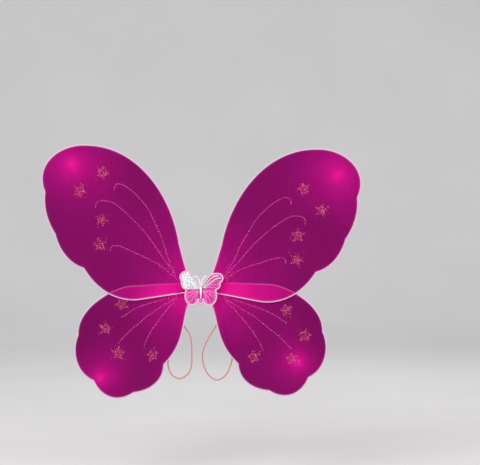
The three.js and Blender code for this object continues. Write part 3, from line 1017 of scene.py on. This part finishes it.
def make_felt(node, name, corner):
    """A felt patch with soft, slightly crowned faces. Gives its outline and each point's reach."""
    low, high = box_mm(node)
    thick = high[1] - low[1]
    outline = respaced(rounded_loop((low[0], low[2]), (high[0], high[2]), corner), 0.9, closed=True)
    middle = outline.mean(0)
    reach = np.linalg.norm(outline - middle, axis=1)
    rings = [(0.0, 1.0), (0.12, 0.45), (0.35, 0.12), (0.8, 0.0)]
    n = len(outline)
    points = []
    for face, insets in ((1, rings), (-1, rings[::-1])):
        for inset, drop in insets:
            y = high[1] - thick / 2 + face * thick / 2 * (1 - drop * 0.75)
            ring = middle + (outline - middle) * (1 - inset / reach)[:, None]
            points.extend((q[0], y, q[1]) for q in ring)
    faces = [(r * n + i, r * n + (i + 1) % n, (r + 1) * n + (i + 1) % n, (r + 1) * n + i)
             for r in range(2 * len(rings) - 1) for i in range(n)]
    build = Build(name)
    build.add(points, faces)
    build.finish("felt", "hub", node, weld=True)
    return outline, reach


def make_patch_stitches(outline, reach):
    """Overcast stitches round the back patch's edge, and the thread that they hold."""
    low, high = box_mm("back_patch")
    middle = outline.mean(0)
    rng = random.Random("felt_back_patch")
    back, edge_y = high[1], high[1] - (high[1] - low[1]) * 0.6
    build = Build("back_patch_stitches")
    for i in range(0, len(outline), 2):
        p = outline[i]
        inner = middle + (p - middle) * (1 - rng.uniform(1.5, 1.9) / reach[i])
        route = [(inner[0], back - 0.05, inner[1]), (p[0], back - 0.1, p[1]), (p[0], edge_y, p[1])]
        sweep(build, respaced(route, 0.5), 0.2, 6)
    sweep(build, [(p[0], edge_y, p[1]) for p in outline], 0.2, 6, closed=True)
    build.finish("thread", "hub")


# --- butterfly ------------------------------------------------------------------------------

EDGE_R = 1.2
SCALLOP = 4.2

# Each wing's outline, outward from the butterfly's axis: cubic spans that carry the stitched
# border, then a plain line back to the start, beside the body or under the wing above.
BUTTERFLY_WINGS = {
    "upper_left": {
        "start": (14, 21.3),
        "border": [(17, 25.5, 22, 26, 25, 24.5), (31, 22.5, 33, 16.5, 29, 11),
                   (30, 5, 27, -0.5, 22, -1.6)],
        "closing": [(1.2, -1.4), (1.4, 1.6), (7.5, 10.8)],
        "cords": [[(1.6, 1.9), (7.5, 10.6), (13.4, 19.8), (16.4, 23)],
                  [(3.4, 1.4), (9.3, 9.6), (15, 18.4), (18, 21.2)]],
        "veins": [],
    },
    "upper_right": {
        "start": (15, 20),
        "border": [(19, 22, 26, 22, 29.5, 21), (35, 18, 34, 11, 28.6, 8.5),
                   (30, 3, 27, -1, 22, -1.8)],
        "closing": [(1.2, -1.4), (1.4, 1.6), (8, 11)],
        "cords": [[(1.6, 1.7), (8, 10.8), (14.4, 18.9), (19, 20.6)],
                  [(3.4, 0.8), (9.6, 8), (16, 14.6), (22, 18), (27, 18.6)],
                  [(5.2, -0.2), (11.6, 5.6), (18.6, 10.8), (25, 14.4), (30.4, 15.4)]],
        "veins": [((7, -0.4), (28, 11.5)), ((6, -0.6), (27, 6)), ((5, -0.8), (22, 0.6))],
    },
    "lower": {
        "start": (21.5, -2.0),
        "border": [(24.5, -8, 24, -15, 21.5, -19.5), (18, -26, 10, -28, 5.5, -19.5),
                   (4.5, -17.5, 3.5, -17, 2.2, -17)],
        "closing": [(1.2, -1.3)],
        "cords": [],
        "veins": [((3.6, -4), (19, -7)), ((3.6, -4.5), (19.5, -14)), ((3.6, -5), (15, -20.5)),
                  ((3.6, -5.5), (9, -20))],
    },
    "tail": {
        "start": (-3.4, -15.5),
        "border": [(-5, -18, -4.4, -22, -1.4, -23), (-0.5, -23.6, 0.5, -23.6, 1.4, -23),
                   (4.4, -22, 5, -18, 3.4, -15.5)],
        "closing": [(0, -14)],
        "cords": [],
        "veins": [((0, -16), (0, -21))],
    },
}
ANTENNA = [(0.5, 2.4), (1.1, 6), (1.9, 10), (3.2, 13.6), (5.2, 16.4), (7.6, 17.6)]


def butterfly_outline(wing):
    """The stitched border of an outline, drawn in scallops, and the whole closed outline."""
    line = [np.array(wing["start"], float)]
    for span in wing["border"]:
        line.extend(bezier(line[-1], span[0:2], span[2:4], span[4:6], 30)[1:])
    border = respaced(line, 0.3)
    ahead = np.gradient(border, axis=0)
    ahead /= np.linalg.norm(ahead, axis=1)[:, None]
    outward = np.stack([-ahead[:, 1], ahead[:, 0]], 1)
    middle = border.mean(0)
    if ((border - middle) * outward).sum() < 0:
        outward = -outward
    along = np.arange(len(border)) * 0.3
    border = border + outward * (0.55 * np.abs(np.sin(math.pi * along / SCALLOP)) - 0.3)[:, None]
    closing = respaced([border[-1], *wing["closing"], border[0]], 0.3)[1:-1]
    return border, np.vstack([border, closing])


def butterfly_placer(side_name):
    side = SIDES[side_name]
    sin_t, cos_t = math.sin(BUTTERFLY_TILT), math.cos(BUTTERFLY_TILT)

    def place(p, depth):
        x = BUTTERFLY_U + side * (p[0] * cos_t - depth * sin_t)
        return x, BUTTERFLY_BACK_Y - p[0] * sin_t - depth * cos_t, p[1]

    return place


def crown(outline, p, puff):
    """Height of a padded panel's satin above its back at a point inside its outline."""
    d = float(np.linalg.norm(outline - p, axis=1).min())
    pull = 0.26 * math.sin(p[0] * 1.1 + p[1] * 0.5) + 0.17 * math.sin(p[1] * 1.7 - p[0] * 0.6)
    return 0.5 + puff * (1 - math.exp(-max(d - 0.9, 0) / 2.6)) + pull * min(1.0, d / 4)


def padded_panel(name, outline, place, puff, look, node):
    """A satin panel over wadding: it rises from its outline to a gathered crown."""
    middle = outline.mean(0)
    to_middle = middle - outline
    reach = np.linalg.norm(to_middle, axis=1)
    n = len(outline)
    insets = [0.0, 0.35, 0.9, 1.7, 2.8]
    rings = [outline + to_middle * (d / reach)[:, None] for d in insets]
    steps = 9
    start = rings[-1]
    rings += [start + (middle - start) * (k / steps) for k in range(1, steps)]
    points = [place(p, crown(outline, p, puff)) for ring in rings for p in ring]
    points.append(place(middle, crown(outline, middle, puff)))
    points += [place(p, 0.1) for p in outline]
    top = len(rings) * n
    faces = [tuple(top + 1 + i for i in range(n))]
    for i in range(n):
        j = (i + 1) % n
        for r in range(len(rings) - 1):
            faces.append((r * n + i, r * n + j, (r + 1) * n + j, (r + 1) * n + i))
        faces.append((top - n + i, top - n + j, top))
        faces.append((i, top + 1 + i, top + 1 + j, j))
    build = Build(f"butterfly_{name}_satin")
    build.add(points, faces)
    build.finish(look, "hub", node, weld=True)


def satin_border(name, line, place, node):
    """Close satin stitches over a cord, along an outline's border."""
    rng = random.Random(f"border {name}")
    line = respaced(line, 0.16)
    ridge = [EDGE_R * (1 + 0.07 * math.cos(i * math.pi * 0.66) + 0.03 * rng.random())
             for i in range(len(line))]
    build = Build(f"butterfly_{name}_satin_stitch")
    sweep(build, [place(p, 1.2) for p in line], ridge, 12)
    build.finish("edging", "hub", node)


def make_butterfly_wing(name, key, place):
    """A padded panel, its stitched border, and the stitches, cords or sequins on it."""
    wing = BUTTERFLY_WINGS[key]
    border, outline = butterfly_outline(wing)
    puff = 1.2 if key == "tail" else 2.5
    panel_node = None if key == "tail" else f"butterfly_{name}_pad"
    border_node = None if key == "tail" else f"butterfly_{name}_edge"
    # The upper-left lobe is painted white as painted glare, and carries the sequins.
    sparkling = key == "upper_left"
    padded_panel(name, outline, place, puff, "glare_white_satin" if sparkling else "satin", panel_node)
    satin_border(name, border, place, border_node)
    if sparkling:
        make_sequins(name, outline, place, puff)
    else:
        make_vein_stitches(name, wing["veins"], border, outline, place, puff)
    for i, route in enumerate(wing["cords"]):
        build = Build(f"butterfly_{name}_silver_cord_{i + 1}")
        flat = respaced(smooth_route(route), 0.5)
        line = [place(p, crown(outline, p, puff) + 0.45) for p in flat]
        twisted_cord(build, np.array(line), 0.9, 2.4)
        build.finish("silver_cord", "hub")


def make_sequins(name, outline, place, puff):
    """Overlapping rows of small sequins that cover a panel."""
    rng = random.Random(f"sequins {name}")
    build = Build(f"butterfly_{name}_sequins")
    pitch, row_pitch = 1.25, 1.0
    low, high = outline.min(0), outline.max(0)
    for r in range(int((high[1] - low[1]) / row_pitch) + 1):
        for c in range(int((high[0] - low[0]) / pitch) + 2):
            p = low + [(c + 0.5 * (r % 2)) * pitch, r * row_pitch]
            p = p + [rng.uniform(-0.2, 0.2), rng.uniform(-0.2, 0.2)]
            near_edge = float(np.linalg.norm(outline - p, axis=1).min()) < 1.6
            if near_edge or not inside(outline, p):
                continue
            centre = np.array(place(p, crown(outline, p, puff) + 0.3))
            flake(build, rng, centre, rng.uniform(0.66, 0.9), 0.12, 0.34, 0.12, 1, 8)
    build.finish("sequins", "hub", smooth=False)


def make_vein_stitches(name, veins, border, outline, place, puff):
    """Chain-stitched veins that fan from the body, and a wavy line inside the border."""
    build = Build(f"butterfly_{name}_vein_stitches")
    for root, end in veins:
        root, end = np.array(root, float), np.array(end, float)
        bow = np.array([root[1] - end[1], end[0] - root[0]]) * 0.1
        line = bezier(root, (root + end) / 2 + bow, (root + end) / 2 + bow, end, 40)
        line = respaced(line, 0.3)
        sweep(build, [place(p, crown(outline, p, puff) + 0.06) for p in line],
              [0.26 + 0.09 * math.cos(i * 1.6) for i in range(len(line))], 8)
    to_middle = outline.mean(0) - border
    reach = np.linalg.norm(to_middle, axis=1)
    wave = 2.7 + 0.5 * np.sin(np.arange(len(border)) * 0.55)
    line = border + to_middle * (wave / reach)[:, None]
    sweep(build, [place(p, crown(outline, p, puff) + 0.02) for p in line], 0.2, 6)
    build.finish("edging", "hub")


def twisted_cord(build, line, radius, pitch):
    """Two strands twisted round each other along a line."""
    step = 0.2
    line = respaced(line, step)
    across, up = frames_along(line, False)
    for strand in (0, math.pi):
        spin = np.arange(len(line)) * step / pitch * 2 * math.pi + strand
        off = across * np.cos(spin)[:, None] + up * np.sin(spin)[:, None]
        sweep(build, line + off * radius * 0.5, radius * 0.56, 8)


def make_butterfly_body():
    """A cord-wound thorax and a tapering abdomen, with a few sequins sewn down the front."""
    low, high = box_mm("butterfly_body")
    x, y = (low[0] + high[0]) / 2, (low[1] + high[1]) / 2
    top, bottom, thread_r = high[2] - 0.6, -15.5, 0.42
    turns, per_turn = 26, 16

    def radius(t):
        belly = 1.55 * math.sin(math.pi * min(1, t * 1.1 + 0.12)) ** 0.6 * (1 - 0.25 * t)
        return 0.5 + belly - 0.5 * math.exp(-(((t - 0.36) / 0.06) ** 2))

    steps = turns * per_turn
    line = []
    for i in range(steps + 1):
        t, a = i / steps, 2 * math.pi * i / per_turn
        r = max(0.45, radius(t) - thread_r)
        line.append((x + r * math.cos(a), y + r * math.sin(a), top + (bottom - top) * t))
    build = Build("butterfly_wound_body")
    sweep(build, line, thread_r, 7)
    core = [(max(0.3, radius(t) - 0.5), top + (bottom - top) * t) for t in np.linspace(0, 1, 21)]
    lathe(build, core, 16, lambda a, b, h: (x + a, y + b, h))
    build.finish("pale_cord", "hub", "butterfly_body")

    rng = random.Random("body sequins")
    build = Build("butterfly_body_sequins")
    sequins = 26
    for i in range(sequins):
        t, a = (i + 0.5) / sequins, rng.uniform(-0.9, 0.9)
        r = radius(t) + 0.12
        centre = np.array([x + r * math.sin(a), y - r * math.cos(a), top + (bottom - top) * t])
        flake(build, rng, centre, rng.uniform(0.5, 0.75), 0.1, turns=1, sides=8)
    build.finish("sequins", "hub", smooth=False)


def make_antenna(side_name):
    """A twisted pale cord that curls outward to a knotted tip."""
    low, high = box_mm(f"butterfly_antenna_{side_name}")
    y = (low[1] + high[1]) / 2
    line = smooth_route([(BUTTERFLY_U + SIDES[side_name] * u, y, v) for u, v in ANTENNA])
    build = Build(f"butterfly_curled_antenna_{side_name}")
    twisted_cord(build, line, 1.0, 2.2)
    ball_r = 1.4
    ball = [(ball_r * math.sin(math.pi * k / 12) + 0.02, -ball_r * math.cos(math.pi * k / 12))
            for k in range(13)]
    tip = line[-1]
    lathe(build, ball, 16, lambda a, b, h: (tip[0] + a, tip[1] + b, tip[2] + h),
          lambda a, h: 0.06 * math.cos(9 * a + 4 * h))
    build.finish("pale_cord", "hub", f"butterfly_antenna_{side_name}")


# --- stage ----------------------------------------------------------------------------------

# The wings' share of the picture's width, and how far they lie left of and below its middle.
WINGS_SHARE = 0.659375
SHIFT = (0.0795, 0.0813)
VIEW_DISTANCE = 2.0
SENSOR_MM = 36


def make_camera():
    """A long lens straight in front, with the wings low and left in the picture."""
    low, high = cad_box
    across = (high.x - low.x) / WINGS_SHARE
    camera = bpy.data.objects.new("camera", bpy.data.cameras.new("camera"))
    camera.data.sensor_width = SENSOR_MM
    camera.data.lens = SENSOR_MM * VIEW_DISTANCE / across
    camera.location = ((low.x + high.x) / 2 + across * SHIFT[0], -VIEW_DISTANCE,
                       (low.z + high.z) / 2 + across * SHIFT[1])
    camera.rotation_euler = (math.pi / 2, 0, 0)
    bpy.context.scene.collection.objects.link(camera)
    bpy.context.scene.camera = camera


def make_light(name, place, size, watts):
    light = bpy.data.lights.new(name, "AREA")
    light.size = size
    light.energy = watts
    obj = bpy.data.objects.new(name, light)
    obj.location = place
    obj.rotation_euler = (Vector((0, 0, 0)) - Vector(place)).to_track_quat("-Z", "Y").to_euler()
    bpy.context.scene.collection.objects.link(obj)


def make_stage():
    """A pale floor that curves up into a far wall, with soft light from front, side and above."""
    floor_z = cad_box[0].z - 0.12
    flat_to, cove_r, half_width, wall_top = 2.2, 1.3, 5, 4.5
    profile = [(-4.0, 0.0), (flat_to, 0.0)]
    profile += [(flat_to + cove_r * math.sin(a), cove_r - cove_r * math.cos(a))
                for a in np.linspace(0.08, math.pi / 2, 18)]
    profile.append((flat_to + cove_r, wall_top))
    points = [(x, y, floor_z + z) for y, z in profile for x in (-half_width, half_width)]
    faces = [(2 * i, 2 * i + 1, 2 * i + 3, 2 * i + 2) for i in range(len(profile) - 1)]
    mesh = bpy.data.meshes.new("pale_floor")
    mesh.from_pydata(points, [], faces)
    mesh.polygons.foreach_set("use_smooth", [True] * len(mesh.polygons))
    look = Look("pale_floor", roughness=0.9)
    look.color(look.ramp(look.noise(3), [(0.3, (0.68, 0.67, 0.67)), (0.7, (0.71, 0.7, 0.7))]))
    mesh.materials.append(look.material)
    floor = bpy.data.objects.new("pale_floor", mesh)
    bpy.context.scene.collection.objects.link(floor)
    world = bpy.data.worlds.new("studio")
    world.use_nodes = True
    world.node_tree.nodes["Background"].inputs["Color"].default_value = (0.92, 0.92, 0.94, 1)
    world.node_tree.nodes["Background"].inputs["Strength"].default_value = 0.85
    bpy.context.scene.world = world
    bpy.context.scene.view_settings.view_transform = "Standard"
    make_light("key", (-1.1, -1.7, 1.3), 1.3, 26)
    make_light("fill", (1.6, -1.3, 0.4), 1.2, 10)
    make_light("rim", (0.4, 1.4, 1.1), 1.2, 5)


make_camera()
for side_name in SIDES:
    make_strap(side_name)
for side_name in SIDES:
    for level in WINGS:
        make_wire(side_name, level)
        make_nylon(side_name, level)
        make_gather(side_name, level)
        make_stars(side_name, level)
        make_veins(side_name, level)
    make_stem(side_name)
    make_ribbon_hinge(side_name)
    make_antenna(side_name)
for node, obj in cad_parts.items():
    if node.endswith("_wire_sleeve"):
        obj.data.materials.clear()
        obj.data.materials.append(LOOKS["sleeve"][1])
make_centre_wrap()
make_centre_core()
outline, reach = make_felt("back_patch", "felt_back_patch", 4.0)
make_patch_stitches(outline, reach)
make_felt("butterfly_felt_backing", "butterfly_felt", 6.0)
for side_name in SIDES:
    make_butterfly_wing(f"upper_{side_name}", f"upper_{side_name}", butterfly_placer(side_name))
for side_name in SIDES:
    make_butterfly_wing(f"lower_{side_name}", "lower", butterfly_placer(side_name))
make_butterfly_wing("tail", "tail", lambda p, d: (BUTTERFLY_U + p[0], BUTTERFLY_BACK_Y - d, p[1]))
make_butterfly_body()
make_stage()
